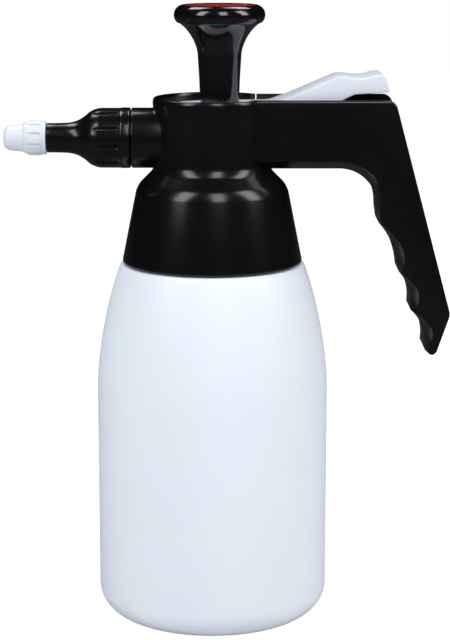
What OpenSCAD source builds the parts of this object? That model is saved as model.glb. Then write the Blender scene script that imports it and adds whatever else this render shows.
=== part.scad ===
// Hand pump pressure sprayer: a blow-moulded bottle, a screw-on head with a
// carrying handle, a piston air pump, a thumb lever valve and a spray nozzle.
// The origin is the centre of the bottle's foot and +Z points up. The nozzle
// points to -X and the handle to +X. All sizes are in millimetres.

/* [Bottle] */
// Radius of the bottle body
bottle_r = 50; // [49:0.5:51]
// Height where the shoulder starts to close in
bottle_shoulder_z = 100; // [96:1:104]
// Radius of the long arc of the shoulder
bottle_shoulder_r = 150; // [148:1:154]
// Radius of the rounded foot corner
bottle_foot_r = 12; // [10:0.5:14]
// Thickness of the bottle wall
bottle_wall = 1.7; // [1.4:0.1:2.2]
// Outer radius of the threaded neck
neck_r = 27.5; // [27:0.1:28]
// Height of the neck's rim
neck_top_z = 184; // [183:0.5:184.5]

/* [Head] */
// Outer radius of the skirt at its lower edge
skirt_r = 38.6; // [38:0.1:39]
// Outer radius of the round collar above the skirt
collar_r = 24.5; // [24:0.1:25]
// Height of the collar's rim
rim_z = 226.3; // [225:0.1:227]
// Height of the deck inside the collar
deck_z = 214; // [213:0.5:214]
// Height of the spray barrel's axis
barrel_z = 209; // [208.5:0.1:209.2]
// Radius of the spray barrel
barrel_r = 12.8; // [12.5:0.1:13]

/* [Handle] */
// Half the width of the handle
handle_half_w = 16.5; // [16:0.1:17]
// Thickness of the handle's side walls
handle_wall = 2.5; // [2.2:0.1:2.6]
// Height of the arm's underside
arm_bottom_z = 197.2; // [196.5:0.1:198]
// Lean of the grip's back edge from the vertical, in degrees
grip_lean = 15.2; // [15:0.1:15.4]

/* [Pump] */
// Distance of the pump's axis behind the bottle's axis
pump_x = 3.2; // [3:0.1:3.4]
// Bore radius of the pump cylinder
pump_bore_r = 10; // [9.8:0.05:10.1]
// Wall thickness of the pump cylinder
pump_wall = 1.5; // [1.3:0.1:1.5]
// Radius of the piston rod
rod_r = 5; // [4.8:0.1:5.2]
// Largest radius of the pump knob
knob_r = 19.3; // [19:0.1:19.6]
// Height of the knob's crest with the pump pushed down
knob_top_z = 265.2; // [264.5:0.1:266]

/* [Valve and lever] */
// Distance of the valve's axis in front of the bottle's axis
valve_x = -15.5; // [-15.7:0.1:-15.3]
// Distance of the lever's pivot behind the bottle's axis
pivot_x = 18.8; // [18.6:0.1:19]
// Height of the lever's pivot
pivot_z = 221; // [220.8:0.1:221.2]
// Half the width of the lever
lever_half_w = 13.4; // [13:0.1:13.5]

/* [Nozzle] */
// Radius of the fluted nozzle nut
nut_r = 12.9; // [12.7:0.1:13.1]
// Radius of the nozzle cap's ribbed grip
cap_r = 7.45; // [7.2:0.05:7.6]

/* [Hidden] */
$fn = 96;

fit = 0.05;          // radial gap of a running or sealing fit
cut = 1;             // how far a cutter runs past the face it opens
tube_gap = 0.3;      // gap between threaded or loose parts

skirt_bottom_z = 155.7;
skirt_wall = 2.3;
skirt_top_z = 183;
skirt_top_r = 33.3;
sleeve_r = 30;
sleeve_wall = 2;
sleeve_bottom_z = 158.2;
collar_wall = 2.5;
cup_r = 23.2;
lip_r = 25.3;
gasket_z = 186;
deck_thick = 3;
collar_fillet = 6;
collar_foot_z = 199;
channel_half_w = handle_half_w - handle_wall;

cylinder_r = pump_bore_r + pump_wall;
cylinder_bottom_z = 112;
cylinder_top_z = 217;
cylinder_flange_r = 13.8;
cylinder_gasket_h = 0.8;
disc_seat = 2.8;

chamber_r = 4.2;
boss_r = 6.2;
boss_bottom_z = 196;
seat_z = 202;
stem_r = 1.5;
gland_z = 211.2;
plate_bottom_z = 219.6;
plate_top_z = 223;
stem_head_floor_z = 221.1;
stem_head_play = 0.6;
pin_r = 2;

barrel_end_x = -34.2;
spigot_end_x = -48;
spigot_r = 10.5;
nut_rear_x = -34.6;
nut_front_x = -70.3;
flute_count = 10;
nozzle_spigot_r = 4.2;
nozzle_spigot_end_x = -80.5;
cap_rear_x = -70.6;
cap_front_x = -88.8;
cap_rib_count = 10;

// Points along an arc about [cx, cy], from angle a0 to angle a1 in n steps
function arc(cx, cy, r, a0, a1, n) =
    [for (i = [0:n]) [cx + r * cos(a0 + (a1 - a0) * i / n), cy + r * sin(a0 + (a1 - a0) * i / n)]];

// Radius of the bottle's shoulder at height z, pulled in by t
function shoulder_r(z, t) =
    bottle_r - bottle_shoulder_r
    + sqrt(pow(bottle_shoulder_r - t, 2) - pow(z - bottle_shoulder_z, 2));

// Outer radius of the skirt's cone at height z
function skirt_cone_r(z) =
    skirt_r + (skirt_top_r - skirt_r) * (z - skirt_bottom_z) / (skirt_top_z - skirt_bottom_z);

// X of the grip's back edge at height z
function grip_back_x(z) = 78 + (221.7 - z) * tan(grip_lean);

// A shape drawn with its own Z axis laid along -X, the way the nozzle points
module along_barrel() translate([0, 0, barrel_z]) rotate([0, -90, 0]) children();

// A ring of rectangular section standing on z
module ring(r_in, r_out, z, h) translate([0, 0, z]) difference() {
    cylinder(r = r_out, h = h);
    translate([0, 0, -cut]) cylinder(r = r_in, h = h + 2 * cut);
}

// A round-section ring lying at height z
module oring(r_mid, r_section, z) translate([0, 0, z])
    rotate_extrude() translate([r_mid, 0]) circle(r = r_section, $fn = 32);

// ---------------------------------------------------------------- bottle

module bottle() {
    shoulder_end_z = 154.4;
    ledge_z = 155.2;
    foot = bottle_foot_r;
    inner_foot = foot - bottle_wall;
    thread_z = [163, 168, 173];
    thread_r = neck_r + 1.7;
    outside = concat(
        [[0, 3], [26, 2.4], [35.5, 0], [bottle_r - foot, 0]],
        arc(bottle_r - foot, foot, foot, -80, 0, 8),
        [for (i = [0:8]) let (z = bottle_shoulder_z + (shoulder_end_z - bottle_shoulder_z) * i / 8)
            [shoulder_r(z, 0), z]],
        [[39.3, ledge_z - 0.2], [38.8, ledge_z], [neck_r + 1.6, ledge_z], [neck_r, ledge_z + 1.6]],
        [[neck_r, neck_top_z]]
    );
    inside = concat(
        [[neck_r - 2.5, neck_top_z], [neck_r - 2.5, ledge_z - 0.4], [neck_r - 1, ledge_z - 1.8]],
        [for (i = [8:-1:0]) let (z = bottle_shoulder_z + (153.2 - bottle_shoulder_z) * i / 8)
            [shoulder_r(z, bottle_wall), z]],
        arc(bottle_r - foot, foot, inner_foot, 0, -80, 8),
        [[35.7, bottle_wall], [26, 2.4 + bottle_wall], [0, 3 + bottle_wall]]
    );
    color("whitesmoke") {
        rotate_extrude() polygon(concat(outside, inside));
        for (z = thread_z) rotate_extrude() polygon([
            [neck_r - 0.5, z], [neck_r, z], [thread_r, z + 0.9],
            [thread_r, z + 1.7], [neck_r, z + 2.6], [neck_r - 0.5, z + 2.6]
        ]);
    }
}

// Flat seal between the bottle's rim and the head
module bottle_gasket() color("dimgray")
    ring(neck_r - 3, neck_r + 0.8, neck_top_z, gasket_z - neck_top_z);

// ------------------------------------------------------------------ head

// Outer solid of the skirt, dome and collar, without its hollows
module head_outside() rotate_extrude() polygon(concat(
    [[0, skirt_bottom_z], [skirt_r - 0.6, skirt_bottom_z], [skirt_r - 0.1, skirt_bottom_z + 0.7]],
    [[skirt_top_r, skirt_top_z]],
    arc(skirt_top_r - 6, skirt_top_z + 1.2, 6, 10, 45, 5),
    arc(collar_r + collar_fillet, collar_foot_z, collar_fillet, 225, 180, 4),
    [[collar_r, deck_z], [lip_r, rim_z - 2.2]],
    arc(lip_r - 1.05, rim_z - 1.05, 1.05, 0, 170, 6),
    [[0, rim_z - 1.05]]
));

// Hollow under the deck: the collar, the gasket seat, the thread sleeve and
// the pocket between that sleeve and the skirt
module head_hollow() {
    inner_r = collar_r - collar_wall;
    pocket_top_z = 176;
    rotate_extrude() polygon([
        [0, skirt_bottom_z - cut], [sleeve_r, skirt_bottom_z - cut],
        [sleeve_r, gasket_z], [inner_r, gasket_z],
        [inner_r, deck_z - deck_thick], [0, deck_z - deck_thick]
    ]);
    rotate_extrude() polygon([
        [sleeve_r - cut, skirt_bottom_z - cut],
        [skirt_cone_r(skirt_bottom_z) - skirt_wall, skirt_bottom_z - cut],
        [skirt_cone_r(skirt_bottom_z) - skirt_wall, skirt_bottom_z],
        [skirt_cone_r(pocket_top_z) - skirt_wall, pocket_top_z],
        [sleeve_r + sleeve_wall, pocket_top_z], [sleeve_r + sleeve_wall, sleeve_bottom_z],
        [sleeve_r - cut, sleeve_bottom_z]
    ]);
}

module head_body() {
    stub_len = -barrel_end_x;
    spigot_thread_r = spigot_r + 0.7;
    passage_r = 2.2;
    color([0.09, 0.09, 0.1]) difference() {
        union() {
            difference() {
                union() {
                    head_outside();
                    along_barrel() cylinder(r = barrel_r, h = stub_len);
                }
                head_hollow();
                translate([0, 0, deck_z]) cylinder(r = cup_r, h = rim_z);
            }
            translate([valve_x, 0, boss_bottom_z])
                cylinder(r = boss_r, h = deck_z - boss_bottom_z);
            along_barrel() translate([0, 0, stub_len - cut])
                cylinder(r = spigot_r, h = cut + barrel_end_x - spigot_end_x);
            along_barrel() for (x = [37.5, 40.5, 43.5])
                translate([0, 0, x]) cylinder(r = spigot_thread_r, h = 1.4);
        }
        translate([pump_x, 0, deck_z - deck_thick - cut])
            cylinder(r = cylinder_r + fit, h = deck_thick + 2 * cut);
        translate([valve_x, 0, boss_bottom_z - cut])
            cylinder(r = chamber_r, h = rim_z - boss_bottom_z);
        along_barrel() translate([0, 0, -valve_x])
            cylinder(r = passage_r, h = valve_x - spigot_end_x + cut);
        translate([0, -handle_half_w, deck_z])
            cube([lip_r + cut, 2 * handle_half_w, rim_z - deck_z + cut]);
    }
}

// ---------------------------------------------------------------- handle

// Side view of the arm and grip as [x, z] points: top, sloping back, rounded
// tip, four finger hollows going up, and the corner under the arm
function finger_hollow(p, q, n) =
    let (d = q - p, len = norm(d), depth = 1.9,
         r = (len * len / 4 + depth * depth) / (2 * depth),
         mid = (p + q) / 2, side = [-d[1], d[0]] / len,
         c = mid + side * (r - depth),
         a = atan2(p[1] - c[1], p[0] - c[0]),
         b = atan2(q[1] - c[1], q[0] - c[0]))
    [for (i = [0:n]) let (t = a + (b - a) * i / n) [c[0] + r * cos(t), c[1] + r * sin(t)]];

finger_cusps = [[91.3, 121.3], [84.9, 136.4], [79.6, 153], [70.6, 174.2]];
corner_r = 16;
corner_x = 53.8;
handle_front_x = 10;
collar_joint_x = 16.2;
rib_z = [142, 155, 168, 181];

function handle_outline() = concat(
    [[handle_front_x, rim_z]],
    arc(73.4, rim_z - 4, 4, 90, grip_lean, 5),
    arc(97.3, 135.2, 4, grip_lean, -19, 4),
    arc(93.9, 119.9, 2.2, -19, -150, 5),
    [for (k = [0:2]) each finger_hollow(finger_cusps[k], finger_cusps[k + 1], 5)],
    arc(corner_x, arm_bottom_z - corner_r, corner_r, 0, 90, 8),
    [[handle_front_x, arm_bottom_z]]
);

module side_plate(points, half_w) rotate([90, 0, 0])
    linear_extrude(height = 2 * half_w, center = true) polygon(points);

// Channel that is open along the top of the arm and down the back of the grip
module handle_channel() {
    floor_z = arm_bottom_z + handle_wall;
    r = corner_r + handle_wall;
    side_plate(concat(
        [[handle_front_x - cut, rim_z + cut], [95, rim_z + cut], [115, 134]],
        [[92.6, 134], [corner_x + r, arm_bottom_z - corner_r]],
        arc(corner_x, arm_bottom_z - corner_r, r, 0, 90, 6),
        [[handle_front_x - cut, floor_z]]
    ), channel_half_w);
}

// Cross ribs that stiffen the grip inside its open back
module grip_ribs() {
    rib = 2;
    rib_len = 30;
    setback = 15;
    color([0.09, 0.09, 0.1]) intersection() {
        handle_channel();
        side_plate(handle_outline(), handle_half_w);
        for (z = rib_z)
            translate([grip_back_x(z) - setback, 0, z]) rotate([0, grip_lean, 0])
                cube([rib_len, 2 * handle_half_w, rib], center = true);
    }
}

module handle() {
    seat_depth = 1.4;
    slit_w = 0.5;
    slit_bottom = 1;
    color([0.09, 0.09, 0.1]) difference() {
        side_plate(handle_outline(), handle_half_w);
        handle_channel();
        translate([0, 0, arm_bottom_z - cut]) cylinder(r = collar_r, h = deck_z - arm_bottom_z + cut);
        translate([0, -handle_half_w - cut, deck_z - cut])
            cube([collar_joint_x, 2 * (handle_half_w + cut), rim_z - deck_z + 2 * cut]);
        translate([pivot_x, 0, pivot_z]) {
            rotate([90, 0, 0])
                cylinder(r = pin_r + fit, h = 2 * (channel_half_w + seat_depth), center = true);
            translate([-slit_w / 2, 0, slit_bottom])
                cube([slit_w, handle_half_w + cut, rim_z - pivot_z]);
        }
    }
}

// ------------------------------------------------------------------ pump

module at_pump() translate([pump_x, 0, 0]) children();

module pump_cylinder() color("gainsboro") at_pump() difference() {
    union() {
        translate([0, 0, cylinder_bottom_z])
            cylinder(r = cylinder_r, h = cylinder_top_z - cylinder_bottom_z);
        translate([0, 0, deck_z + cylinder_gasket_h])
            cylinder(r = cylinder_flange_r, h = cylinder_top_z - deck_z - cylinder_gasket_h);
    }
    translate([0, 0, cylinder_bottom_z + 3]) cylinder(r = pump_bore_r, h = 120);
    translate([0, 0, cylinder_bottom_z - cut]) cylinder(r = 1.2, h = 10);
    for (a = [0:60:300]) rotate(a) translate([4.5, 0, cylinder_bottom_z - cut])
        cylinder(r = 1, h = 10, $fn = 24);
}

module cylinder_gasket() color("dimgray") at_pump()
    ring(cylinder_r + 0.2, cylinder_flange_r - 0.2, deck_z, cylinder_gasket_h);

// Bush that closes the cylinder and guides the rod
module cylinder_cap() color([0.12, 0.12, 0.13]) at_pump() difference() {
    union() {
        translate([0, 0, cylinder_top_z]) cylinder(r = 12.5, h = 1.5);
        translate([0, 0, cylinder_top_z - 8]) cylinder(r = pump_bore_r - 0.02, h = 8.5);
    }
    translate([0, 0, cylinder_top_z - 8 - cut]) cylinder(r = rod_r + 0.08, h = 20);
    translate([0, 0, cylinder_top_z - 8 - cut]) ring(rod_r + 1.6, pump_bore_r - 1.6, 0, 6 + cut);
}

// Umbrella valve that lets air out of the cylinder and not back
module air_valve_flap() color("black") at_pump() rotate_extrude() polygon([
    [0, cylinder_bottom_z - 1.6], [3, cylinder_bottom_z - 1.4], [7.6, cylinder_bottom_z - 0.6],
    [7.6, cylinder_bottom_z], [1.15, cylinder_bottom_z], [1.15, cylinder_bottom_z + 3],
    [1.7, cylinder_bottom_z + 3], [1.2, cylinder_bottom_z + 4.4], [0, cylinder_bottom_z + 4.4]
]);

module piston_rod() color("silver") at_pump() ring(rod_r - 2, rod_r, 122, 128);

module piston() {
    z = 117;
    color("steelblue") at_pump() difference() {
        rotate_extrude() polygon([
            [0, z], [9, z], [9.6, z + 0.6], [9.6, z + 3], [7.6, z + 3], [7.6, z + 6],
            [9.6, z + 6], [9.6, z + 9], [7, z + 10.5], [0, z + 10.5]
        ]);
        translate([0, 0, 122]) cylinder(r = rod_r, h = 20);
    }
}

// Lip seal that slides in the cylinder and stays put while the rod spins
module piston_seal() color("black") at_pump() rotate_extrude() polygon([
    [7.6 + fit, 120.1], [9.5, 120.1], [pump_bore_r - fit, 121], [pump_bore_r - fit, 122],
    [9.5, 122.9], [7.6 + fit, 122.9]
]);

module pump_knob() {
    rim_r = 3.6;
    rim_c = [knob_r - rim_r, knob_top_z - rim_r];
    color([0.09, 0.09, 0.1]) at_pump() difference() {
        rotate_extrude() polygon(concat(
            [[0, 219.1], [7.9, 219.1], [8.4, 219.6], [8.55, 230], [8.9, 237], [9.3, 243.6]],
            [[9.75, 247], [10.4, 250], [11.7, 253], [13.9, 255.8], [16.5, 257.7]],
            arc(rim_c[0], rim_c[1], rim_r, -54, 90, 9),
            [[knob_r - rim_r, knob_top_z - disc_seat], [0, knob_top_z - disc_seat]]
        ));
        translate([0, 0, 219.1 - cut]) cylinder(r = rod_r, h = 250 - 219.1 + cut);
        rotate_extrude() polygon([
            [0, 252], [6, 252], [8, 255.5], [13.6, knob_top_z - disc_seat - 0.1],
            [13.6, knob_top_z], [0, knob_top_z]
        ]);
    }
}

// Coloured disc pressed into the top of the knob
module knob_disc() color("red") at_pump()
    translate([0, 0, knob_top_z - disc_seat]) cylinder(r = 15.65, h = disc_seat - 0.4);

// ----------------------------------------------------------------- valve

module at_valve() translate([valve_x, 0, 0]) children();

module valve_seat() color("ivory") at_valve() difference() {
    rotate_extrude() polygon([
        [0, 186], [1.9, 186], [2.2, 188], [2.2, boss_bottom_z - 1.5], [5.6, boss_bottom_z - 1.5],
        [5.6, boss_bottom_z], [chamber_r, boss_bottom_z], [chamber_r, seat_z - 0.8],
        [2.4, seat_z - 0.8], [2.1, seat_z], [0, seat_z]
    ]);
    translate([0, 0, 180]) cylinder(r = 1.4, h = 30);
}

module valve_poppet() color("black") at_valve() ring(1, 3.1, seat_z, 1.6);

// Stem with the spring's flange low down and the head that the lever lifts
module valve_stem() color("silver") at_valve() rotate_extrude() polygon([
    [0, seat_z - 0.6], [0.9, seat_z - 0.2], [1, seat_z + 1.6], [3.8, seat_z + 1.6],
    [3.8, seat_z + 3.2], [stem_r, seat_z + 3.2],
    [stem_r, stem_head_floor_z + stem_head_play], [3.3, stem_head_floor_z + stem_head_play],
    [3.3, plate_top_z], [2.6, plate_top_z + 0.5], [0, plate_top_z + 0.5]
]);

// Closed tube swept along a helix, with flat ends
function helix_point(t, r, turns, z0, h, wire, b) =
    let (a = 360 * turns * t, rr = r + wire * cos(b))
    [rr * cos(a), rr * sin(a), z0 + h * t + wire * sin(b)];

module helix_tube(r, wire, turns, z0, h) {
    sides = 8;
    steps = 20 * turns;
    points = [for (i = [0:steps], j = [0:sides - 1])
        helix_point(i / steps, r, turns, z0, h, wire, -360 * j / sides)];
    walls = [for (i = [0:steps - 1], j = [0:sides - 1]) let (n = (j + 1) % sides)
        [i * sides + j, (i + 1) * sides + j, (i + 1) * sides + n, i * sides + n]];
    first = [[for (j = [0:sides - 1]) j]];
    last = [[for (j = [sides - 1:-1:0]) steps * sides + j]];
    polyhedron(points = points, faces = concat(walls, first, last));
}

module valve_spring() color("silver") at_valve()
    helix_tube(r = 3.35, wire = 0.32, turns = 4, z0 = seat_z + 3.54, h = gland_z - seat_z - 3.9);

module valve_gland() color("gold") at_valve() difference() {
    union() {
        translate([0, 0, gland_z]) cylinder(r = chamber_r, h = deck_z - gland_z + 0.5);
        translate([0, 0, deck_z]) cylinder(r = 4.9, h = 2, $fn = 6);
    }
    translate([0, 0, gland_z - cut]) cylinder(r = stem_r + 0.08, h = 10);
    translate([0, 0, gland_z - cut]) cylinder(r = 2.9, h = cut + 1.5);
}

module stem_oring() color("black") at_valve() oring(stem_r + fit + 0.62, 0.62, gland_z + 0.75);

module dip_tube() color("white") at_valve() ring(2.2, 3, 12, 182);

// Strainer with a ring of slots, pushed on the foot of the dip tube
module tube_filter() {
    slots = 10;
    color("gainsboro") at_valve() difference() {
        translate([0, 0, 7]) cylinder(r = 4.8, h = 13);
        translate([0, 0, 12]) cylinder(r = 3, h = 10);
        translate([0, 0, 8.2]) cylinder(r = 2.9, h = 10);
        for (k = [0:slots - 1]) rotate(360 * k / slots)
            translate([2, -0.4, 8.4]) cube([4, 0.8, 3]);
    }
}

// ----------------------------------------------------------------- lever

// Side view of the lever as [x, z] points, plate first and thumb pad behind
module thumb_lever() {
    hole_r = 10.2;
    slot_half = 2;
    counterbore_r = 4.2;
    color("white") difference() {
        union() {
            translate([0, 0, plate_bottom_z]) intersection() {
                cylinder(r = 20.6, h = plate_top_z - plate_bottom_z);
                translate([-30, -30, 0]) cube([46, 60, 10]);
            }
            side_plate([
                [10, plate_bottom_z], [50, plate_bottom_z], [54.3, 226], [59.7, 228.6], [74.7, 229.6],
                [72.3, 236], [71.5, 236.6], [70.3, 236.8], [67.7, 236.1], [63, 235.3], [58, 235.5],
                [53.8, 235.9], [52.2, 235.6], [33.5, 227.6], [24, plate_top_z + 1.1],
                [10, plate_top_z + 0.9]
            ], lever_half_w);
            translate([pivot_x, 0, pivot_z]) rotate([90, 0, 0])
                cylinder(r = pin_r, h = 2 * (channel_half_w + 1.2), center = true);
        }
        translate([pump_x, 0, plate_bottom_z - cut]) cylinder(r = hole_r, h = 10);
        translate([-30, -slot_half, plate_bottom_z - cut])
            cube([30 + valve_x + 2.2, 2 * slot_half, 10]);
        translate([valve_x, 0, stem_head_floor_z]) cylinder(r = counterbore_r, h = 5);
        side_plate([
            [36, plate_bottom_z - cut], [36, 226.2], [53, 233.6], [58, 233.3], [63, 233.1],
            [67.5, 233.9], [70.5, 234.4], [72.2, 229], [72, 228], [60.4, 226], [55.5, 224],
            [51.6, plate_bottom_z - cut]
        ], lever_half_w - 2);
    }
}

// ---------------------------------------------------------------- nozzle

// Fluted nut and front tube in one piece, drawn along its own axis
module nozzle_nut() {
    thread_bore_r = spigot_r + 0.7 + tube_gap;
    color([0.09, 0.09, 0.1]) along_barrel() difference() {
        rotate_extrude() polygon(concat(
            [[0, -nut_rear_x], [nut_r - 0.5, -nut_rear_x], [nut_r, -nut_rear_x + 0.5]],
            [[nut_r - 0.2, 47.5]],
            arc(8.7, 48.6, 4, 5, 45, 4),
            [[9.7, 53.6], [8.2, 55.6], [7.2, 57.8], [6.7, 60.4], [6.4, 66.5]],
            [[6.3, -nut_front_x - 0.5], [5.9, -nut_front_x], [nozzle_spigot_r, -nut_front_x]],
            [[nozzle_spigot_r, -nozzle_spigot_end_x], [0, -nozzle_spigot_end_x]]
        ));
        translate([0, 0, -nut_rear_x - cut]) cylinder(r = thread_bore_r, h = 14.9 + cut);
        translate([0, 0, 40]) cylinder(r = 2.2, h = 50);
        for (k = [0:flute_count - 1]) rotate(5 + 360 * k / flute_count)
            translate([nut_r + 0.35, 0, 39.8]) cylinder(r = 1.05, h = 20, $fn = 24);
        translate([0, 0, 77]) ring(nozzle_spigot_r - 0.8, nozzle_spigot_r + cut, 0, 1.5);
    }
}

// Washer at the bottom of the nut's thread
module nut_washer() color("black") along_barrel()
    ring(3, spigot_r, -spigot_end_x + 0.05, 1.4);

// Swirl core keyed in the front tube and pushed along by the cap
module nozzle_core() {
    tail_r = 1.5;
    color("ivory") along_barrel() difference() {
        union() {
            translate([0, 0, 81.2]) cylinder(r = 2.95, h = 3.8);
            translate([0, 0, 73]) cylinder(r = tail_r, h = 8.5);
        }
        for (a = [0, 90]) rotate(a) translate([-4, -0.3, 84]) cube([8, 0.6, 2]);
        for (a = [0:90:270]) rotate(a) translate([2.5, -0.5, 80]) cube([2, 1, 6]);
    }
}

module nozzle_oring() color("black") along_barrel()
    oring(nozzle_spigot_r - 0.1, 0.3, 77.75);

module nozzle_cap() {
    bore_r = nozzle_spigot_r + 0.25;
    dome_r = 5.75;
    color("white") along_barrel() difference() {
        union() {
            rotate_extrude() polygon(concat(
                [[0, -cap_rear_x], [cap_r - 0.9, -cap_rear_x], [cap_r - 0.6, -cap_rear_x + 0.4]],
                [[cap_r - 0.6, 77.6], [dome_r, 78.4], [5.55, 83.2]],
                arc(2.2, 85.4, 3.25, 0, 80, 5),
                [[0, -cap_front_x]]
            ));
            for (k = [0:cap_rib_count - 1]) rotate(360 * k / cap_rib_count)
                translate([cap_r - 1.3, -1.5, 71]) cube([1.25, 3, 6.9]);
        }
        translate([0, 0, -cap_rear_x - cut]) cylinder(r = bore_r, h = 10.4 + cut);
        translate([0, 0, 80]) cylinder(r = 3.05, h = 5.2);
        translate([0, 0, 80]) cylinder(r = 0.4, h = 20);
    }
}

bottle();
bottle_gasket();
head_body();
handle();
grip_ribs();
pump_cylinder();
cylinder_gasket();
cylinder_cap();
air_valve_flap();
piston_rod();
piston();
piston_seal();
pump_knob();
knob_disc();
thumb_lever();
valve_stem();
valve_poppet();
valve_spring();
valve_gland();
stem_oring();
valve_seat();
dip_tube();
tube_filter();
nozzle_nut();
nut_washer();
nozzle_core();
nozzle_cap();
nozzle_oring();
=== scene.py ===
import math

import bmesh
import bpy
from mathutils import Matrix, Vector


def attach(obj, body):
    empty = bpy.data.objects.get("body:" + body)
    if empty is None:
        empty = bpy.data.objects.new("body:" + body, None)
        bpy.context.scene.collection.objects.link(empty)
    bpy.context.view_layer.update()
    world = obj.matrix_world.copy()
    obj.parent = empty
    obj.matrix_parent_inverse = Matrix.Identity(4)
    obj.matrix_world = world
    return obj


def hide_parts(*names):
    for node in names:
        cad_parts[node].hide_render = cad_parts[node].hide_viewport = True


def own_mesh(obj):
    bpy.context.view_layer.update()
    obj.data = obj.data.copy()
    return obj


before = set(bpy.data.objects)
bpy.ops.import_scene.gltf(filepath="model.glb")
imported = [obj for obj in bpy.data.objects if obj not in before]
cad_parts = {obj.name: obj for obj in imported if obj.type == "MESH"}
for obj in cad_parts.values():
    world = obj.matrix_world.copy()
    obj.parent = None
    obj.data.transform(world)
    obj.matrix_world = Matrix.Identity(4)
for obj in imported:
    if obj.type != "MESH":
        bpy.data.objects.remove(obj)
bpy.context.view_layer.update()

MM = 0.001


# ---------------------------------------------------------------- moulded skin
# Every plastic piece of the sprayer is moulded, so all of them share a faint
# orange peel from the tool steel, slow changes of gloss, and fine handling marks.

def new_group(name, inputs, outputs):
    """An empty shader node group, with its input and output nodes."""
    group = bpy.data.node_groups.new(name, "ShaderNodeTree")
    for label, kind, value in inputs:
        socket = group.interface.new_socket(label, in_out="INPUT", socket_type=kind)
        if value is not None:
            socket.default_value = value
    for label in outputs:
        group.interface.new_socket(label, in_out="OUTPUT", socket_type="NodeSocketFloat")
    return group, group.nodes.new("NodeGroupInput"), group.nodes.new("NodeGroupOutput")


def add_noise(tree, vector, scale, detail=2.0, roughness=0.5):
    """A noise texture whose scale is in features per metre, or a socket."""
    node = tree.nodes.new("ShaderNodeTexNoise")
    node.inputs["Detail"].default_value = detail
    node.inputs["Roughness"].default_value = roughness
    tree.links.new(vector, node.inputs["Vector"])
    if isinstance(scale, bpy.types.NodeSocket):
        tree.links.new(scale, node.inputs["Scale"])
    else:
        node.inputs["Scale"].default_value = scale
    return node.outputs["Fac"]


def add_math(tree, operation, first, second=None, clamp=False):
    """A math node on sockets or plain numbers."""
    node = tree.nodes.new("ShaderNodeMath")
    node.operation = operation
    node.use_clamp = clamp
    for socket, value in zip(node.inputs, (first, second)):
        if isinstance(value, bpy.types.NodeSocket):
            tree.links.new(value, socket)
        elif value is not None:
            socket.default_value = value
    return node.outputs[0]


def add_range(tree, value, from_low, from_high, to_low, to_high):
    """A smooth map of a value from one range to another."""
    node = tree.nodes.new("ShaderNodeMapRange")
    node.interpolation_type = "SMOOTHSTEP"
    tree.links.new(value, node.inputs["Value"])
    for label, number in zip(
        ("From Min", "From Max", "To Min", "To Max"), (from_low, from_high, to_low, to_high)
    ):
        node.inputs[label].default_value = number
    return node.outputs["Result"]


skin, skin_in, skin_out = new_group(
    "moulded_skin",
    [("Vector", "NodeSocketVector", None), ("Peel Scale", "NodeSocketFloat", 900.0)],
    ["Height", "Gloss", "Shade"],
)
SINK_PER_M = 60.0
GLOSS_PER_M = 45.0
SHADE_PER_M = 18.0
skin_place = skin_in.outputs["Vector"]
peel = add_noise(skin, skin_place, skin_in.outputs["Peel Scale"], 3.0, 0.55)
sink = add_noise(skin, skin_place, SINK_PER_M, 1.0)
fine_height = add_math(skin, "MULTIPLY", peel, 0.35)
broad_height = add_math(skin, "MULTIPLY", sink, 1.6)
skin.links.new(add_math(skin, "ADD", fine_height, broad_height), skin_out.inputs["Height"])
skin.links.new(add_noise(skin, skin_place, GLOSS_PER_M, 4.0, 0.6), skin_out.inputs["Gloss"])
skin.links.new(add_noise(skin, skin_place, SHADE_PER_M, 3.0), skin_out.inputs["Shade"])

marks, marks_in, marks_out = new_group(
    "handling_marks",
    [("Vector", "NodeSocketVector", None), ("Amount", "NodeSocketFloat", 0.5)],
    ["Scuff", "Dust"],
)
SCRATCH_PER_M = 70.0
HANDLED_PER_M = 38.0
SPECKS_PER_M = 420.0
stretch = marks.nodes.new("ShaderNodeMapping")
stretch.inputs["Rotation"].default_value = (0.3, 0.5, 0.4)
stretch.inputs["Scale"].default_value = (1.0, 22.0, 9.0)
marks.links.new(marks_in.outputs["Vector"], stretch.inputs["Vector"])
streaks = add_noise(marks, stretch.outputs["Vector"], SCRATCH_PER_M, 2.0, 0.7)
scratch = add_range(marks, streaks, 0.64, 0.72, 0.0, 1.0)
handled = add_noise(marks, marks_in.outputs["Vector"], HANDLED_PER_M, 2.0)
patch = add_range(marks, handled, 0.45, 0.68, 0.0, 1.0)
scuff = add_math(marks, "MULTIPLY", scratch, patch)
scuff = add_math(marks, "MULTIPLY", scuff, marks_in.outputs["Amount"], True)
marks.links.new(scuff, marks_out.inputs["Scuff"])
speck = marks.nodes.new("ShaderNodeTexVoronoi")
speck.inputs["Scale"].default_value = SPECKS_PER_M
marks.links.new(marks_in.outputs["Vector"], speck.inputs["Vector"])
dust = add_range(marks, speck.outputs["Distance"], 0.05, 0.1, 1.0, 0.0)
dust = add_math(marks, "MULTIPLY", dust, patch)
dust = add_math(marks, "MULTIPLY", dust, marks_in.outputs["Amount"], True)
marks.links.new(dust, marks_out.inputs["Dust"])


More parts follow.
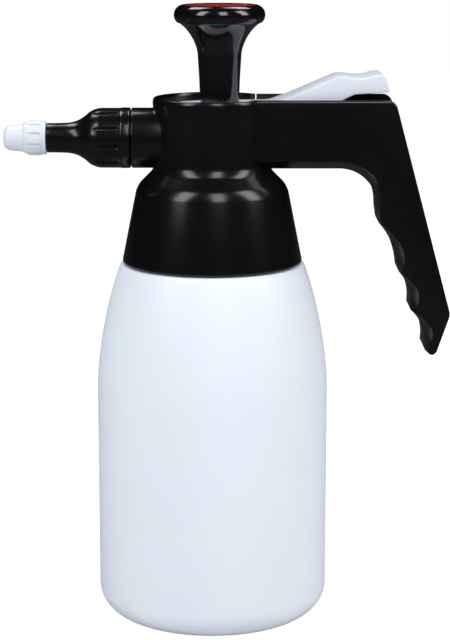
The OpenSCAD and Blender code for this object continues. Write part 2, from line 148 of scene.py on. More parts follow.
def plastic(name, color, lighter, rough, rough_change, peel_scale, peel_depth, marks_amount):
    """A moulded plastic: its two shades, its gloss and how strongly the skin and the marks show."""
    material = bpy.data.materials.new(name)
    material.use_nodes = True
    tree = material.node_tree
    shader = tree.nodes["Principled BSDF"]
    place = tree.nodes.new("ShaderNodeTexCoord").outputs["Object"]
    skin_node = tree.nodes.new("ShaderNodeGroup")
    skin_node.node_tree = skin
    skin_node.inputs["Peel Scale"].default_value = peel_scale
    marks_node = tree.nodes.new("ShaderNodeGroup")
    marks_node.node_tree = marks
    marks_node.inputs["Amount"].default_value = marks_amount
    tree.links.new(place, skin_node.inputs["Vector"])
    tree.links.new(place, marks_node.inputs["Vector"])
    tint = tree.nodes.new("ShaderNodeMix")
    tint.data_type = "RGBA"
    tint.inputs["A"].default_value = (*color, 1.0)
    tint.inputs["B"].default_value = (*lighter, 1.0)
    worn = add_math(tree, "ADD", skin_node.outputs["Shade"], marks_node.outputs["Dust"], True)
    tree.links.new(worn, tint.inputs["Factor"])
    tree.links.new(tint.outputs["Result"], shader.inputs["Base Color"])
    gloss = add_math(tree, "MULTIPLY_ADD", skin_node.outputs["Gloss"], rough_change)
    gloss.node.inputs[2].default_value = rough - rough_change / 2
    dulled = add_math(tree, "MULTIPLY", marks_node.outputs["Scuff"], 0.18)
    tree.links.new(add_math(tree, "ADD", gloss, dulled, True), shader.inputs["Roughness"])
    bump = tree.nodes.new("ShaderNodeBump")
    bump.inputs["Distance"].default_value = peel_depth
    bump.inputs["Strength"].default_value = 0.8
    tree.links.new(skin_node.outputs["Height"], bump.inputs["Height"])
    tree.links.new(bump.outputs["Normal"], shader.inputs["Normal"])
    return material


# ---------------------------------------------------------------- bottle
# Blow-moulded polyethylene bottle of about a litre: a foot ring round a domed
# base, a straight body, a long rounded shoulder and a screw neck.

def draw_wire(bm, corners):
    """A closed wire in the XZ plane, in mm. A corner is (x, z), or (x, z, cut-back, segments) if round."""
    verts = [bm.verts.new((corner[0] * MM, 0, corner[1] * MM)) for corner in corners]
    for first, second in zip(verts, verts[1:] + verts[:1]):
        bm.edges.new((first, second))
    for vert, corner in zip(verts, corners):
        if len(corner) > 2:
            bmesh.ops.bevel(
                bm, geom=[vert], offset=corner[2] * MM, offset_type="OFFSET", affect="VERTICES",
                segments=corner[3], profile=0.5, material=-1,
            )


def turn(corners, steps):
    """A bmesh of a wire turned once about Z, with its poles merged and its faces outwards."""
    bm = bmesh.new()
    draw_wire(bm, corners)
    bmesh.ops.spin(
        bm, geom=bm.verts[:] + bm.edges[:], cent=(0, 0, 0), axis=(0, 0, 1),
        angle=2 * math.pi, steps=steps, use_merge=True,
    )
    bmesh.ops.remove_doubles(bm, verts=bm.verts, dist=0.002 * MM)
    bmesh.ops.dissolve_degenerate(bm, edges=bm.edges, dist=0.001 * MM)
    bmesh.ops.recalc_face_normals(bm, faces=bm.faces)
    return bm


ROOT_DEPTH = 0.4


def screw_ridge(radius, z, height, depth, pitch, turns, steps=48):
    """A bmesh of a helical thread ridge that stands on a cylinder."""
    bm = bmesh.new()
    draw_wire(bm, [
        (radius - ROOT_DEPTH, z), (radius, z), (radius + depth, z + height * 0.3, 0.2, 2),
        (radius + depth, z + height * 0.7, 0.2, 2), (radius, z + height), (radius - ROOT_DEPTH, z + height),
    ])
    face = bm.faces.new(bm.verts[:])
    bmesh.ops.spin(
        bm, geom=[face] + face.edges[:] + face.verts[:], cent=(0, 0, 0), axis=(0, 0, 1),
        dvec=(0, 0, pitch * MM / steps), angle=2 * math.pi * turns, steps=round(steps * turns),
    )
    bmesh.ops.recalc_face_normals(bm, faces=bm.faces)
    return bm


def add_to(bm, extra):
    """Moves the faces of the bmesh extra into bm."""
    mesh = bpy.data.meshes.new("extra")
    extra.to_mesh(mesh)
    extra.free()
    bm.from_mesh(mesh)
    bpy.data.meshes.remove(mesh)


CRISP_DEG = 34


def set_shading(mesh):
    """Smooth shading, with the edges that turn by more than the angle left crisp."""
    mesh.shade_smooth()
    mesh.set_sharp_from_angle(angle=math.radians(CRISP_DEG))


def make_piece(name, bm, material):
    """An object at the origin from a finished bmesh."""
    mesh = bpy.data.meshes.new(name)
    bm.to_mesh(mesh)
    bm.free()
    set_shading(mesh)
    piece = bpy.data.objects.new(name, mesh)
    bpy.context.scene.collection.objects.link(piece)
    if material:
        mesh.materials.append(material)
    return piece


def set_subsurface(material, weight, scale):
    """Lets light into a milky plastic, to a depth in metres."""
    shader = material.node_tree.nodes["Principled BSDF"]
    shader.inputs["Subsurface Weight"].default_value = weight
    shader.inputs["Subsurface Radius"].default_value = (1.0, 1.0, 1.0)
    shader.inputs["Subsurface Scale"].default_value = scale


bottle_material = plastic(
    "white_polyethylene", (0.735, 0.795, 0.90), (0.775, 0.83, 0.915), 0.42, 0.12,
    peel_scale=420.0, peel_depth=0.00004, marks_amount=0.3,
)
set_subsurface(bottle_material, 0.35, 0.004)

BODY_R = 50
WALL = 1.7
HEEL_ROUND = 12
FOOT_R = 35.6
BASE_R = 26
SHOULDER_Z = 128.2
SHOULDER_ROUND = 28.2
LEDGE_Z = 155.2
NECK_R = 27.5
NECK_BORE_R = 24.8
NECK_TOP_Z = 184
NECK_PITCH = 5
bottle_bm = turn([
    (0, 3), (BASE_R, 2.4, 6, 6), (FOOT_R, 0, 1.5, 3), (BODY_R, 0, HEEL_ROUND, 12),
    (BODY_R, SHOULDER_Z, SHOULDER_ROUND, 24), (39.55, 154.9, 0.5, 3), (38.6, LEDGE_Z, 0.4, 2),
    (29, LEDGE_Z, 0.6, 3), (NECK_R, 157, 0.8, 3), (NECK_R, NECK_TOP_Z, 0.4, 3),
    (NECK_BORE_R, NECK_TOP_Z, 0.4, 3), (NECK_BORE_R, 154, 1.5, 4), (38.1, 153.3, 0.8, 3),
    (BODY_R - WALL, SHOULDER_Z, SHOULDER_ROUND - WALL, 20),
    (BODY_R - WALL, WALL, HEEL_ROUND - WALL, 10), (35.7, WALL), (BASE_R, 4.1), (0, 4.7),
], steps=160)
add_to(bottle_bm, screw_ridge(NECK_R, 162.5, 2.6, 1.6, NECK_PITCH, 2.5))
bottle = make_piece("bottle_shell", bottle_bm, bottle_material)
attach(bottle, "bottle")
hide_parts("bottle")


# ---------------------------------------------------------------- head
# The black screw-on head, injection moulded in polypropylene: a conical skirt
# with a thread sleeve inside it, a collar with an open cup, and the spray barrel.

def carve(piece, bm, operation="DIFFERENCE"):
    """Cuts the closed bmesh out of the piece, or joins the two."""
    tool = make_piece("tool", bm, None)
    modifier = piece.modifiers.new("carve", "BOOLEAN")
    modifier.operation = operation
    modifier.solver = "EXACT"
    modifier.object = tool
    shape = bpy.data.meshes.new_from_object(piece.evaluated_get(bpy.context.evaluated_depsgraph_get()))
    piece.modifiers.clear()
    old = piece.data
    piece.data = shape
    shape.name = piece.name
    bpy.data.meshes.remove(old)
    bpy.data.objects.remove(tool)


def block(low, high, rounding=0.0):
    """A bmesh box between two corners in mm, with its edges rounded."""
    bm = bmesh.new()
    bmesh.ops.create_cube(bm, size=1)
    size = [(b - a) * MM for a, b in zip(low, high)]
    middle = [(a + b) / 2 * MM for a, b in zip(low, high)]
    bmesh.ops.scale(bm, vec=size, verts=bm.verts)
    bmesh.ops.translate(bm, vec=middle, verts=bm.verts)
    if rounding:
        bmesh.ops.bevel(
            bm, geom=bm.edges[:], offset=rounding * MM, offset_type="OFFSET", affect="EDGES",
            segments=3, profile=0.5, material=-1,
        )
    return bm


def round_bar(radius, start, end, rounding=0.0, steps=64):
    """A bmesh cylinder along Z in mm, with its ends rounded."""
    edge = (rounding, 3) if rounding else ()
    return turn([(0, start), (radius, start, *edge), (radius, end, *edge), (0, end)], steps)


def move_x(bm, x):
    """Moves a shape by a distance in mm along X."""
    bmesh.ops.translate(bm, vec=(x * MM, 0, 0), verts=bm.verts)
    return bm


BARREL_Z = 209
ALONG_BARREL = Matrix.Translation((0, 0, BARREL_Z * MM)) @ Matrix.Rotation(math.radians(-90), 4, "Y")


def lay_along_barrel(bm):
    """Turns a shape drawn about Z so that it points forwards on the barrel's axis."""
    bmesh.ops.transform(bm, matrix=ALONG_BARREL, verts=bm.verts)
    return bm


black_material = plastic(
    "black_polypropylene", (0.0026, 0.0027, 0.0034), (0.0042, 0.0043, 0.0050), 0.21, 0.07,
    peel_scale=700.0, peel_depth=0.000012, marks_amount=0.5,
)
black_material.node_tree.nodes["Principled BSDF"].inputs["Specular IOR Level"].default_value = 0.45
RIM_Z = 226.3
OPEN_Z = 230
DECK_Z = 214
CEILING_Z = 211
COLLAR_R = 24.5
CUP_R = 23.2
SKIRT_FOOT_Z = 155.7
SLEEVE_R = 30
SLEEVE_FOOT_Z = 158.2
SLEEVE_TOP_Z = 186
BARREL_R = 12.8
BARREL_THREAD_R = 10.5
BARREL_BORE_R = 2.2
WALL_INNER_Y = 14
ARM_GAP_Y = 14.4
PUMP_X = 3.2
VALVE_X = -15.5
PIVOT_X = 18.8
PIVOT_Z = 221
head = make_piece("head_shell", turn([
    (0, CEILING_Z), (22, CEILING_Z, 0.8, 3), (22, SLEEVE_TOP_Z), (SLEEVE_R, SLEEVE_TOP_Z, 0.5, 3),
    (SLEEVE_R, SLEEVE_FOOT_Z, 0.5, 3), (32, SLEEVE_FOOT_Z, 0.5, 3), (32, 176), (32.4, 176),
    (36.3, SKIRT_FOOT_Z, 0.3, 2), (38.1, SKIRT_FOOT_Z, 0.3, 3), (38.62, 156.6, 0.4, 3),
    (32.2, 188.6, 2.9, 10), (COLLAR_R, 196.3, 2.7, 10), (COLLAR_R, 213, 5, 4),
    (25.3, 224.6, 0.7, 3), (24.8, RIM_Z, 0.6, 4), (0, RIM_Z),
], steps=192), black_material)
carve(head, lay_along_barrel(turn([
    (BARREL_BORE_R, 15), (BARREL_R, 15), (BARREL_R, 34.2, 0.5, 4), (BARREL_THREAD_R, 34.2, 0.3, 2),
    (BARREL_THREAD_R, 48, 0.6, 3), (BARREL_BORE_R, 48),
], steps=96)), "UNION")
carve(head, turn([
    (0, DECK_Z), (CUP_R, DECK_Z, 0.7, 4), (CUP_R, 225.2, 0.4, 3), (CUP_R + 0.8, RIM_Z + 0.3),
    (CUP_R + 0.8, OPEN_Z), (0, OPEN_Z),
], steps=192))
carve(head, block((12, -ARM_GAP_Y, DECK_Z), (30, ARM_GAP_Y, OPEN_Z)))
carve(head, move_x(round_bar(6.2, 196, 212), VALVE_X), "UNION")
carve(head, move_x(round_bar(4.24, 195, OPEN_Z), VALVE_X))
carve(head, move_x(round_bar(11.56, 205, OPEN_Z), PUMP_X))
head_bm = bmesh.new()
head_bm.from_mesh(head.data)
add_to(head_bm, lay_along_barrel(screw_ridge(BARREL_THREAD_R, 37, 1.6, 0.65, 3, 2.6)))
head_bm.to_mesh(head.data)
head_bm.free()


def cut_rim_slit(piece):
    """Cuts the narrow slit over the lever's pin in the far wall."""
    carve(piece, block((PIVOT_X - 0.25, 0, PIVOT_Z + 1), (PIVOT_X + 0.25, 30, OPEN_Z)))


cut_rim_slit(head)
set_shading(head.data)
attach(head, "head")
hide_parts("head_body")


# ---------------------------------------------------------------- handle
# Arm and grip, one moulding with the head: a deep channel open along the top
# and the back, a round corner for the forefinger and three finger hollows below
# it, and a wide chamfer where the fingers lie.

HANDLE_HALF_W = 16.5
CHAMFER_Y = 6
CUSP_RISE = 0.9
CHAMFER_RISE = 3.6
SCOOP_FADE = 8
ARM_BOTTOM_Z = 197.2
ARM_START_X = 16.2
CORNER_R = 16
CORNER_X = 53.8
CORNER_Z = ARM_BOTTOM_Z - CORNER_R
GRIP_LEAN = math.tan(math.radians(15.2))
TIP_X = 95.6
TIP_Z = 118.0
TIP_LEAN = 0.347
CUSPS = [(91.3, 121.3), (84.9, 136.4), (79.6, 153.0), (70.6, 174.2)]


def grip_back_x(z):
    """X of the grip's back edge at height z, in mm: it leans out, then cuts back to the tip."""
    return min(78 + (221.7 - z) * GRIP_LEAN, TIP_X + (z - TIP_Z) * TIP_LEAN)


def finger_hollow(start, end, depth=1.9, steps=9):
    """Corners along the arc of one hollow, without its last cusp, in mm."""
    a, b = Vector(start), Vector(end)
    across = Vector((a.y - b.y, b.x - a.x)).normalized()
    middle = (a + b) / 2 - across * depth
    half = (b - a).length / 2
    radius = (half * half + depth * depth) / (2 * depth)
    centre = middle + across * radius
    sweep = math.asin(half / radius)
    points = []
    for i in range(steps):
        angle = sweep * (2 * i / steps - 1)
        sideways = (b - a).normalized() * radius * math.sin(angle)
        spot = centre - across * radius * math.cos(angle) + sideways
        points.append((spot.x, spot.y))
    return points


def extrude_face(bm, face, offset):
    """Extrudes one face by an offset and returns the new end face."""
    grown = bmesh.ops.extrude_face_region(bm, geom=[face])["geom"]
    end = next(item for item in grown if isinstance(item, bmesh.types.BMFace))
    bmesh.ops.translate(bm, vec=offset, verts=end.verts)
    return end


def slab(corners, half_width):
    """A bmesh of an outline in the XZ plane, thickened evenly to both sides in Y."""
    bm = bmesh.new()
    draw_wire(bm, corners)
    bmesh.ops.translate(bm, vec=(0, -half_width * MM, 0), verts=bm.verts)
    face = bmesh.ops.contextual_create(bm, geom=bm.edges[:])["faces"][0]
    extrude_face(bm, face, (0, 2 * half_width * MM, 0))
    bmesh.ops.recalc_face_normals(bm, faces=bm.faces)
    return bm


handle_outline = [
    (ARM_START_X, RIM_Z), (grip_back_x(RIM_Z), RIM_Z, 3.1, 6),
    (grip_back_x(135.1), 135.1, 1.8, 5), (95.4, 117.4, 2.4, 5), (91.0, 118.2, 1.6, 4),
]
for lower, upper in zip(CUSPS, CUSPS[1:]):
    handle_outline += finger_hollow(lower, upper)
handle_outline += [
    CUSPS[3], (CORNER_X + CORNER_R, CORNER_Z - 1.2, 1, 3),
    (CORNER_X + CORNER_R, ARM_BOTTOM_Z, CORNER_R, 14), (ARM_START_X, ARM_BOTTOM_Z),
]

handle_bm = bmesh.new()
draw_wire(handle_bm, handle_outline)
centre_face = bmesh.ops.contextual_create(handle_bm, geom=handle_bm.edges[:])["faces"][0]
inner_face = extrude_face(handle_bm, centre_face, (0, -(HANDLE_HALF_W - CHAMFER_Y) * MM, 0))
outer_face = extrude_face(handle_bm, inner_face, (0, -CHAMFER_Y * MM, 0))
SIDE_WALL_VERTS = 8
middle_faces = [f for f in handle_bm.faces if len(f.verts) > SIDE_WALL_VERTS and f != outer_face]
bmesh.ops.delete(handle_bm, geom=middle_faces, context="FACES_ONLY")
for vert in outer_face.verts:
    x, z = vert.co.x / MM, vert.co.z / MM
    if z < ARM_BOTTOM_Z + 0.01 and x < grip_back_x(z) - 1.5:
        away = Vector((max(0, x - CORNER_X), 0, max(0, z - CORNER_Z))).normalized()
        scoop = min(1, max(0, (z - CORNER_Z) / SCOOP_FADE))
        for lower, upper in zip(CUSPS, CUSPS[1:]):
            if lower[1] < z < upper[1]:
                scoop = math.sin(math.pi * (z - lower[1]) / (upper[1] - lower[1]))
        vert.co += away * (CUSP_RISE + (CHAMFER_RISE - CUSP_RISE) * scoop) * MM
ROUNDED_DOWN_TO_Z = 130


def is_on_back(vert):
    """Whether a corner of the side face lies on the arm's top or the grip's back."""
    return vert.co.z > (RIM_Z - 4.5) * MM or vert.co.x > (grip_back_x(vert.co.z / MM) - 1.4) * MM


bevel_edges = [
    e for e in outer_face.edges
    if all(is_on_back(v) for v in e.verts)
    and max(v.co.z for v in e.verts) > ROUNDED_DOWN_TO_Z * MM
    and not all(abs(v.co.x - ARM_START_X * MM) < 0.01 * MM for v in e.verts)
]
bmesh.ops.bevel(
    handle_bm, geom=bevel_edges, offset=0.9 * MM, offset_type="OFFSET", affect="EDGES",
    segments=3, profile=0.5, material=-1,
)
bmesh.ops.mirror(
    handle_bm, geom=handle_bm.verts[:] + handle_bm.edges[:] + handle_bm.faces[:], axis="Y",
    merge_dist=0.01 * MM,
)
bmesh.ops.remove_doubles(handle_bm, verts=handle_bm.verts, dist=0.005 * MM)
bmesh.ops.recalc_face_normals(handle_bm, faces=handle_bm.faces)
handle = make_piece("handle_shell", handle_bm, black_material)
CHANNEL_FLOOR_Z = 200.1
CHANNEL_FRONT_X = 73.5
CHANNEL_FOOT_Z = 134
carve(handle, slab([
    (9, CHANNEL_FLOOR_Z), (CHANNEL_FRONT_X, CHANNEL_FLOOR_Z, 18.5, 12), (CHANNEL_FRONT_X, CORNER_Z),
    (93.8, CHANNEL_FOOT_Z, 2, 3), (115, CHANNEL_FOOT_Z), (95, 240), (9, 240),
], WALL_INNER_Y))
carve(handle, round_bar(COLLAR_R - 0.4, 190, DECK_Z - 0.2, steps=128))


def lay_on_pivot(bm):
    """Turns a bar drawn about Z across the arm, onto the lever's pivot."""
    across = Matrix.Rotation(math.radians(90), 3, "X")
    bmesh.ops.rotate(bm, cent=(0, 0, 0), matrix=across, verts=bm.verts)
    bmesh.ops.translate(bm, vec=(PIVOT_X * MM, 0, PIVOT_Z * MM), verts=bm.verts)
    return bm


PIN_R = 2
PIN_HALF_LENGTH = 15.2
SEAT_HALF_LENGTH = PIN_HALF_LENGTH + 0.2
carve(handle, lay_on_pivot(round_bar(PIN_R + 0.06, -SEAT_HALF_LENGTH, SEAT_HALF_LENGTH, steps=48)))
cut_rim_slit(handle)
set_shading(handle.data)
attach(handle, "head")
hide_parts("handle")


# ---------------------------------------------------------------- pump knob
# Black plunger knob turned to a trumpet shape, moulded hollow, pressed on the
# rod. The red disc closes the recess in its crest.

knob_material = plastic(
    "polished_black_polypropylene", (0.0026, 0.0027, 0.0036), (0.0040, 0.0041, 0.0052), 0.13, 0.05,
    peel_scale=600.0, peel_depth=0.00001, marks_amount=0.4,
)
knob_material.node_tree.nodes["Principled BSDF"].inputs["Specular IOR Level"].default_value = 0.65
KNOB_R = 19.3
KNOB_FOOT_Z = 219.1
KNOB_TOP_Z = 265.2
KNOB_ROUND = 4.3
ROD_R = 5
ROD_TOP_Z = 250
DISC_R = 15.5
DISC_BOTTOM_Z = 262.4
RECESS_R = DISC_R + 0.04
RIM_FROM_DEG = -48
RIM_SWEEP_DEG = 128
RIM_STEPS = 18
knob_rim = []
for step in range(RIM_STEPS + 1):
    angle = math.radians(RIM_FROM_DEG + RIM_SWEEP_DEG * step / RIM_STEPS)
    rim_x = KNOB_R - KNOB_ROUND + KNOB_ROUND * math.cos(angle)
    rim_z = KNOB_TOP_Z - KNOB_ROUND + KNOB_ROUND * math.sin(angle)
    knob_rim.append((rim_x, rim_z))
knob = make_piece("pump_knob_shell", move_x(turn([
    (ROD_R, KNOB_FOOT_Z), (7.7, KNOB_FOOT_Z, 0.2, 2), (8.2, 219.8, 0.3, 2), (8.5, 231, 3, 4),
    (8.95, 240, 4, 4), (9.9, 252.6, 8.2, 16), (17.5, 257.8, 0.3, 2), *knob_rim,
    (RECESS_R, 264.9), (RECESS_R, DISC_BOTTOM_Z), (13.6, DISC_BOTTOM_Z), (8, 255.5, 1, 3),
    (6, 252), (0, 252), (0, ROD_TOP_Z), (ROD_R, ROD_TOP_Z),
], steps=128), PUMP_X), knob_material)
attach(knob, "pump_handle")
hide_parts("pump_knob")

red_material = plastic(
    "red_polystyrene", (0.38, 0.018, 0.020), (0.44, 0.026, 0.028), 0.20, 0.05,
    peel_scale=500.0, peel_depth=0.00001, marks_amount=0.5,
)
disc = make_piece("knob_disc_cap", move_x(turn([
    (0, DISC_BOTTOM_Z), (DISC_R, DISC_BOTTOM_Z), (DISC_R, 264.75, 0.3, 3), (10, 265.05, 3, 3),
    (0, KNOB_TOP_Z),
], steps=96), PUMP_X), red_material)
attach(disc, "pump_handle")
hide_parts("knob_disc")


# ---------------------------------------------------------------- thumb lever
# White lever moulded as a shell: a plate in the cup that reaches under the
# valve stem's head, and a ramp up to the thumb pad above the arm.

white_material = plastic(
    "white_acetal", (0.62, 0.66, 0.74), (0.66, 0.70, 0.77), 0.32, 0.08,
    peel_scale=900.0, peel_depth=0.000018, marks_amount=0.35,
)
set_subsurface(white_material, 0.15, 0.002)

LEVER_HALF_W = 13.4
LEVER_WALL = 2
PLATE_R = 20.6
PLATE_BOTTOM_Z = 219.6
PLATE_TOP_Z = 223
STEM_FLOOR_Z = 221.1
lever_bm = slab([
    (10, PLATE_BOTTOM_Z), (49.6, PLATE_BOTTOM_Z, 3, 4), (54.3, 226, 0.8, 3), (59.7, 228.6, 0.8, 3),
    (74.7, 229.6, 1.2, 4), (72.2, 236.6, 1.8, 6), (68.6, 236.7, 1.6, 4), (63, 234.9, 3, 5),
    (53.2, 236.1, 1.6, 5), (33.5, 227.6, 2, 4), (24, PLATE_TOP_Z + 1.1, 2, 4), (10, PLATE_TOP_Z + 0.9),
], LEVER_HALF_W)
lever_rims = [
    e for e in lever_bm.edges
    if abs(e.verts[0].co.y - e.verts[1].co.y) < 0.01 * MM
    and any(len(f.verts) > 4 for f in e.link_faces) and min(v.co.x for v in e.verts) > 12 * MM
]
bmesh.ops.bevel(
    lever_bm, geom=lever_rims, offset=0.5 * MM, offset_type="OFFSET", affect="EDGES",
    segments=3, profile=0.5, material=-1,
)
lever = make_piece("thumb_lever_shell", lever_bm, white_material)
PLATE_CUT_X = 15.9
plate_bm = turn([
    (0, PLATE_BOTTOM_Z), (PLATE_R, PLATE_BOTTOM_Z, 0.4, 3), (PLATE_R, PLATE_TOP_Z, 0.5, 3),
    (0, PLATE_TOP_Z),
], steps=128)
bmesh.ops.bisect_plane(
    plate_bm, geom=plate_bm.verts[:] + plate_bm.edges[:] + plate_bm.faces[:], dist=0.0001 * MM,
    plane_co=(PLATE_CUT_X * MM, 0, 0), plane_no=(1, 0, 0), clear_outer=True,
)
bmesh.ops.holes_fill(plate_bm, edges=[e for e in plate_bm.edges if e.is_boundary])
bmesh.ops.recalc_face_normals(plate_bm, faces=plate_bm.faces)
carve(lever, plate_bm, "UNION")
carve(lever, slab([
    (36, 215), (36, 226.2), (53, 233.6, 1, 3), (58, 233.3), (63, 233.0), (68, 234.2, 1, 3),
    (70.6, 234.2, 0.8, 3), (72, 229.8), (72, 228), (60.4, 226.2), (55.5, 224), (50.6, 215),
], LEVER_HALF_W - LEVER_WALL))
carve(lever, move_x(round_bar(10.2, 210, 240, steps=96), PUMP_X))
carve(lever, block((-30, -2, 215), (VALVE_X + 2.2, 2, OPEN_Z)))
carve(lever, move_x(round_bar(4.2, STEM_FLOOR_Z, OPEN_Z), VALVE_X))
carve(lever, lay_on_pivot(round_bar(PIN_R, -PIN_HALF_LENGTH, PIN_HALF_LENGTH, 0.3, steps=48)), "UNION")
set_shading(lever.data)
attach(lever, "lever")
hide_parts("thumb_lever")


# ---------------------------------------------------------------- nozzle nut
# Black nut that screws on the barrel: a plain rear ring, ten flutes for the
# fingers, and a neck that tapers to the front tube with the cap's spigot.

def ring_of(count, make_groove, first_deg=0):
    """A bmesh of equal grooves round Z, each made afresh by a function."""
    bm = bmesh.new()
    for k in range(count):
        groove = make_groove()
        turn_k = Matrix.Rotation(math.radians(first_deg + 360 * k / count), 3, "Z")
        bmesh.ops.rotate(groove, cent=(0, 0, 0), matrix=turn_k, verts=groove.verts)
        add_to(bm, groove)
    return bm


def flute():
    """One flute of the nut, a round groove closed at the rear ring."""
    return move_x(round_bar(1.3, 39.2, 60, 1.1, steps=20), 13.1)


NUT_REAR = 34.6
NUT_R = 12.75
NUT_RING_R = 12.9
NUT_BORE_R = 11.5
NUT_BORE_END = 49.5
TUBE_END = 70.3
SPIGOT_R = 4.2
SPIGOT_END = 80.5
FLUTES = 10
nut = make_piece("nozzle_nut_shell", lay_along_barrel(turn([
    (NUT_BORE_R, NUT_REAR), (12.4, NUT_REAR), (NUT_RING_R, 35.1, 0.3, 3), (NUT_RING_R, 38.2, 0.3, 3),
    (NUT_R, 38.6, 0.3, 2), (NUT_R, 50.2, 3.4, 8), (8.1, 55.4, 2.4, 6), (6.55, 59.5, 2.2, 5),
    (6.3, 64, 2, 3), (6.25, TUBE_END, 0.4, 3), (SPIGOT_R, TUBE_END, 0.2, 2),
    (SPIGOT_R, SPIGOT_END, 0.3, 2), (BARREL_BORE_R, SPIGOT_END), (BARREL_BORE_R, NUT_BORE_END),
    (NUT_BORE_R, NUT_BORE_END),
], steps=120)), black_material)
carve(nut, lay_along_barrel(ring_of(FLUTES, flute, 5)))
set_shading(nut.data)
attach(nut, "nut")
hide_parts("nozzle_nut")


# ---------------------------------------------------------------- nozzle cap
# White spray cap with a ribbed grip and a smooth domed end, drilled with the
# spray hole. It screws on the front tube and opens or closes the swirl core.

CAP_REAR = 70.6
CAP_BORE_R = 4.45
CAP_RING_R = 7.2
CAP_RING_GAP_R = 6.95
CAP_GRIP_R = 7.45
CAP_TIP = 88.76
SPRAY_HOLE_R = 0.4
SWIRL_R = 3.05
cap = make_piece("nozzle_cap_shell", lay_along_barrel(turn([
    (CAP_BORE_R, CAP_REAR), (7.0, CAP_REAR, 0.2, 2), (CAP_RING_R, 71.0, 0.15, 2),
    (CAP_RING_R, 71.5, 0.15, 2), (CAP_RING_GAP_R, 71.7, 0.1, 2), (CAP_RING_R, 71.9, 0.15, 2),
    (CAP_RING_R, 72.4, 0.15, 2), (CAP_RING_GAP_R, 72.6, 0.1, 2), (CAP_GRIP_R, 72.9, 0.2, 3),
    (CAP_GRIP_R, 77.4, 0.6, 4), (6.45, 79.9, 0.5, 3), (5.95, 80.3, 0.2, 2), (5.5, 84, 1.5, 4),
    (5.3, CAP_TIP, 3, 8), (SPRAY_HOLE_R, CAP_TIP), (SPRAY_HOLE_R, 85.2), (SWIRL_R, 85.2),
    (SWIRL_R, 81), (CAP_BORE_R, 81),
], steps=120)), white_material)
RIBS = 10


def rib_gap():
    """One gap between two ribs of the cap's grip."""
    return block((6.8, -0.8, 73), (9, 0.8, 82), 0.25)


carve(cap, lay_along_barrel(ring_of(RIBS, rib_gap)))
set_shading(cap.data)
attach(cap, "cap")
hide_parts("nozzle_cap")


# ---------------------------------------------------------------- inner pieces
# The working pieces inside, most of them hidden: plain polypropylene and
# polyethylene, nitrile rubber seals, drawn steel wire and rod, and turned brass.

natural_material = plastic(
    "natural_polypropylene", (0.62, 0.62, 0.57), (0.70, 0.70, 0.66), 0.38, 0.1,
    peel_scale=700.0, peel_depth=0.00002, marks_amount=0.4,
)
natural_shader = natural_material.node_tree.nodes["Principled BSDF"]
natural_shader.inputs["Subsurface Weight"].default_value = 0.3
natural_shader.inputs["Subsurface Scale"].default_value = 0.003
rubber_material = plastic(
    "nitrile_rubber", (0.012, 0.012, 0.012), (0.022, 0.022, 0.021), 0.72, 0.12,
    peel_scale=2600.0, peel_depth=0.00003, marks_amount=0.3,
)


def metal(name, color, rough, stretch_by):
    """A drawn or turned metal with fine tool lines that change its gloss."""
    material = bpy.data.materials.new(name)
    material.use_nodes = True
    tree = material.node_tree
    shader = tree.nodes["Principled BSDF"]
    shader.inputs["Metallic"].default_value = 1.0
    lines = tree.nodes.new("ShaderNodeMapping")
    lines.inputs["Scale"].default_value = stretch_by
    place = tree.nodes.new("ShaderNodeTexCoord").outputs["Object"]
    tree.links.new(place, lines.inputs["Vector"])
    grain = add_noise(tree, lines.outputs["Vector"], 500.0, 3.0, 0.6)
    gloss = add_range(tree, grain, 0.3, 0.7, rough - 0.07, rough + 0.1)
    tree.links.new(gloss, shader.inputs["Roughness"])
    tint = tree.nodes.new("ShaderNodeMix")
    tint.data_type = "RGBA"
    tint.inputs["A"].default_value = (*color, 1.0)
    tint.inputs["B"].default_value = (*[c * 0.82 for c in color], 1.0)
    tree.links.new(grain, tint.inputs["Factor"])
    tree.links.new(tint.outputs["Result"], shader.inputs["Base Color"])
    bump = tree.nodes.new("ShaderNodeBump")
    bump.inputs["Distance"].default_value = 0.000008
    tree.links.new(grain, bump.inputs["Height"])
    tree.links.new(bump.outputs["Normal"], shader.inputs["Normal"])
    return material


steel_material = metal("drawn_steel", (0.60, 0.60, 0.61), 0.28, (1.0, 1.0, 0.06))
brass_material = metal("turned_brass", (0.72, 0.52, 0.24), 0.25, (1.0, 1.0, 6.0))
inner_finishes = {
    "bottle_gasket": rubber_material, "grip_ribs": black_material, "pump_cylinder": natural_material,
    "cylinder_gasket": rubber_material, "cylinder_cap": black_material, "air_valve_flap": rubber_material,
    "piston_rod": natural_material, "piston": natural_material, "piston_seal": rubber_material,
    "valve_stem": steel_material, "valve_poppet": rubber_material,
    "valve_gland": brass_material, "stem_oring": rubber_material, "valve_seat": natural_material,
    "dip_tube": natural_material, "tube_filter": natural_material, "nut_washer": rubber_material,
    "nozzle_core": natural_material, "nozzle_oring": rubber_material,
}
for node_name, material in inner_finishes.items():
    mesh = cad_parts[node_name].data
    mesh.materials.clear()
    mesh.materials.append(material)


# ---------------------------------------------------------------- valve spring
# Round steel wire coiled round the valve stem in four turns, with its top under
# the gland. It is squashed from below when the lever is pressed.

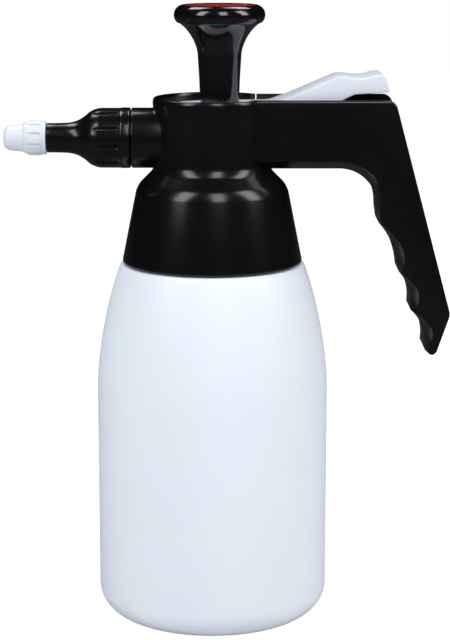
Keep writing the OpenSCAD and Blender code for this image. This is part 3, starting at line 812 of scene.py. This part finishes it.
WIRE_R = 0.32
COIL_R = 3.35
COIL_START_Z = 205.54
COIL_RISE = 5.3
COIL_TURNS = 4
COIL_STEPS = 36 * COIL_TURNS
wire_end = Matrix.Translation((COIL_R * MM, 0, COIL_START_Z * MM))
wire_end = wire_end @ Matrix.Rotation(math.radians(90), 4, "X")
spring_bm = bmesh.new()
bmesh.ops.create_circle(spring_bm, cap_ends=True, segments=14, radius=WIRE_R * MM, matrix=wire_end)
bmesh.ops.spin(
    spring_bm, geom=spring_bm.verts[:] + spring_bm.edges[:] + spring_bm.faces[:],
    cent=(0, 0, 0), axis=(0, 0, 1), dvec=(0, 0, COIL_RISE * MM / COIL_STEPS),
    angle=2 * math.pi * COIL_TURNS, steps=COIL_STEPS,
)
bmesh.ops.recalc_face_normals(spring_bm, faces=spring_bm.faces)
spring = make_piece("valve_return_spring", move_x(spring_bm, VALVE_X), steel_material)
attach(spring, "head")
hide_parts("valve_spring")
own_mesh(spring)


# ---------------------------------------------------------------- studio
# A pale floor, three soft boxes in front and two behind, a weak even fill from
# all round, and the camera.

floor_bm = bmesh.new()
bmesh.ops.create_grid(floor_bm, x_segments=1, y_segments=1, size=12)
floor_material = bpy.data.materials.new("pale_floor")
floor_material.use_nodes = True
floor_tree = floor_material.node_tree
floor_shader = floor_tree.nodes["Principled BSDF"]
floor_shader.inputs["Roughness"].default_value = 0.6
floor_ray = floor_tree.nodes.new("ShaderNodeLightPath")
FLOOR_IN_REFLECTIONS = 0.05
FLOOR_BOUNCE = 0.65
FLOOR_GLOW = 1.18
FLOOR_GLOW_SHARE = 0.8
floor_shade = add_math(floor_tree, "MULTIPLY_ADD", floor_ray.outputs["Is Diffuse Ray"], FLOOR_BOUNCE)
floor_shade.node.inputs[2].default_value = FLOOR_IN_REFLECTIONS
floor_shade = add_math(floor_tree, "ADD", floor_shade, floor_ray.outputs["Is Camera Ray"], True)
floor_tree.links.new(floor_shade, floor_shader.inputs["Base Color"])
floor_glow = floor_tree.nodes.new("ShaderNodeEmission")
floor_glow.inputs["Color"].default_value = (1.0, 1.0, 1.0, 1.0)
floor_glow.inputs["Strength"].default_value = FLOOR_GLOW
floor_mix = floor_tree.nodes.new("ShaderNodeMixShader")
floor_seen = add_math(floor_tree, "MULTIPLY", floor_ray.outputs["Is Camera Ray"], FLOOR_GLOW_SHARE)
floor_tree.links.new(floor_seen, floor_mix.inputs["Fac"])
floor_tree.links.new(floor_shader.outputs["BSDF"], floor_mix.inputs[1])
floor_tree.links.new(floor_glow.outputs["Emission"], floor_mix.inputs[2])
floor_tree.links.new(floor_mix.outputs["Shader"], floor_tree.nodes["Material Output"].inputs["Surface"])
floor = make_piece("floor", floor_bm, floor_material)


LIT_POINT = Vector((0, 0, 0.15))


def soft_box(name, azimuth, elevation, distance, width, height, power):
    """An area light that looks at the middle of the object. Azimuth 0 is in front, and 90 at +X."""
    light = bpy.data.lights.new(name, "AREA")
    light.shape = "RECTANGLE"
    light.size = width
    light.size_y = height
    light.energy = power
    lamp = bpy.data.objects.new(name, light)
    a, e = math.radians(azimuth), math.radians(elevation)
    away = Vector((math.sin(a) * math.cos(e), -math.cos(a) * math.cos(e), math.sin(e)))
    lamp.location = LIT_POINT + away * distance
    lamp.rotation_euler = away.to_track_quat("Z", "Y").to_euler()
    bpy.context.scene.collection.objects.link(lamp)


soft_box("left_box", -50, 37, 1.3, 0.4, 0.94, 7.4)
soft_box("front_box", 11, 40, 1.3, 0.36, 0.82, 5.2)
soft_box("right_box", 69, 37, 1.3, 0.4, 0.94, 7.6)
soft_box("rear_left_box", -140, 58, 1.5, 0.6, 0.5, 6)
soft_box("rear_right_box", 150, 58, 1.5, 0.6, 0.5, 6)

world = bpy.data.worlds.new("studio")
bpy.context.scene.world = world
world.use_nodes = True
world.node_tree.nodes["Background"].inputs["Color"].default_value = (0.95, 0.97, 1.0, 1.0)
world.node_tree.nodes["Background"].inputs["Strength"].default_value = 0.38
world.cycles_visibility.glossy = False
bpy.context.scene.view_settings.view_transform = "Standard"

camera_data = bpy.data.cameras.new("camera")
camera_data.lens = 112.5
camera_data.sensor_width = 36
CAMERA_DIPS_DEG = 11.85
camera = bpy.data.objects.new("camera", camera_data)
camera.location = (0.0055, -0.850, 0.308)
camera.rotation_euler = (math.radians(90 - CAMERA_DIPS_DEG), 0, 0)
bpy.context.scene.collection.objects.link(camera)
bpy.context.scene.camera = camera
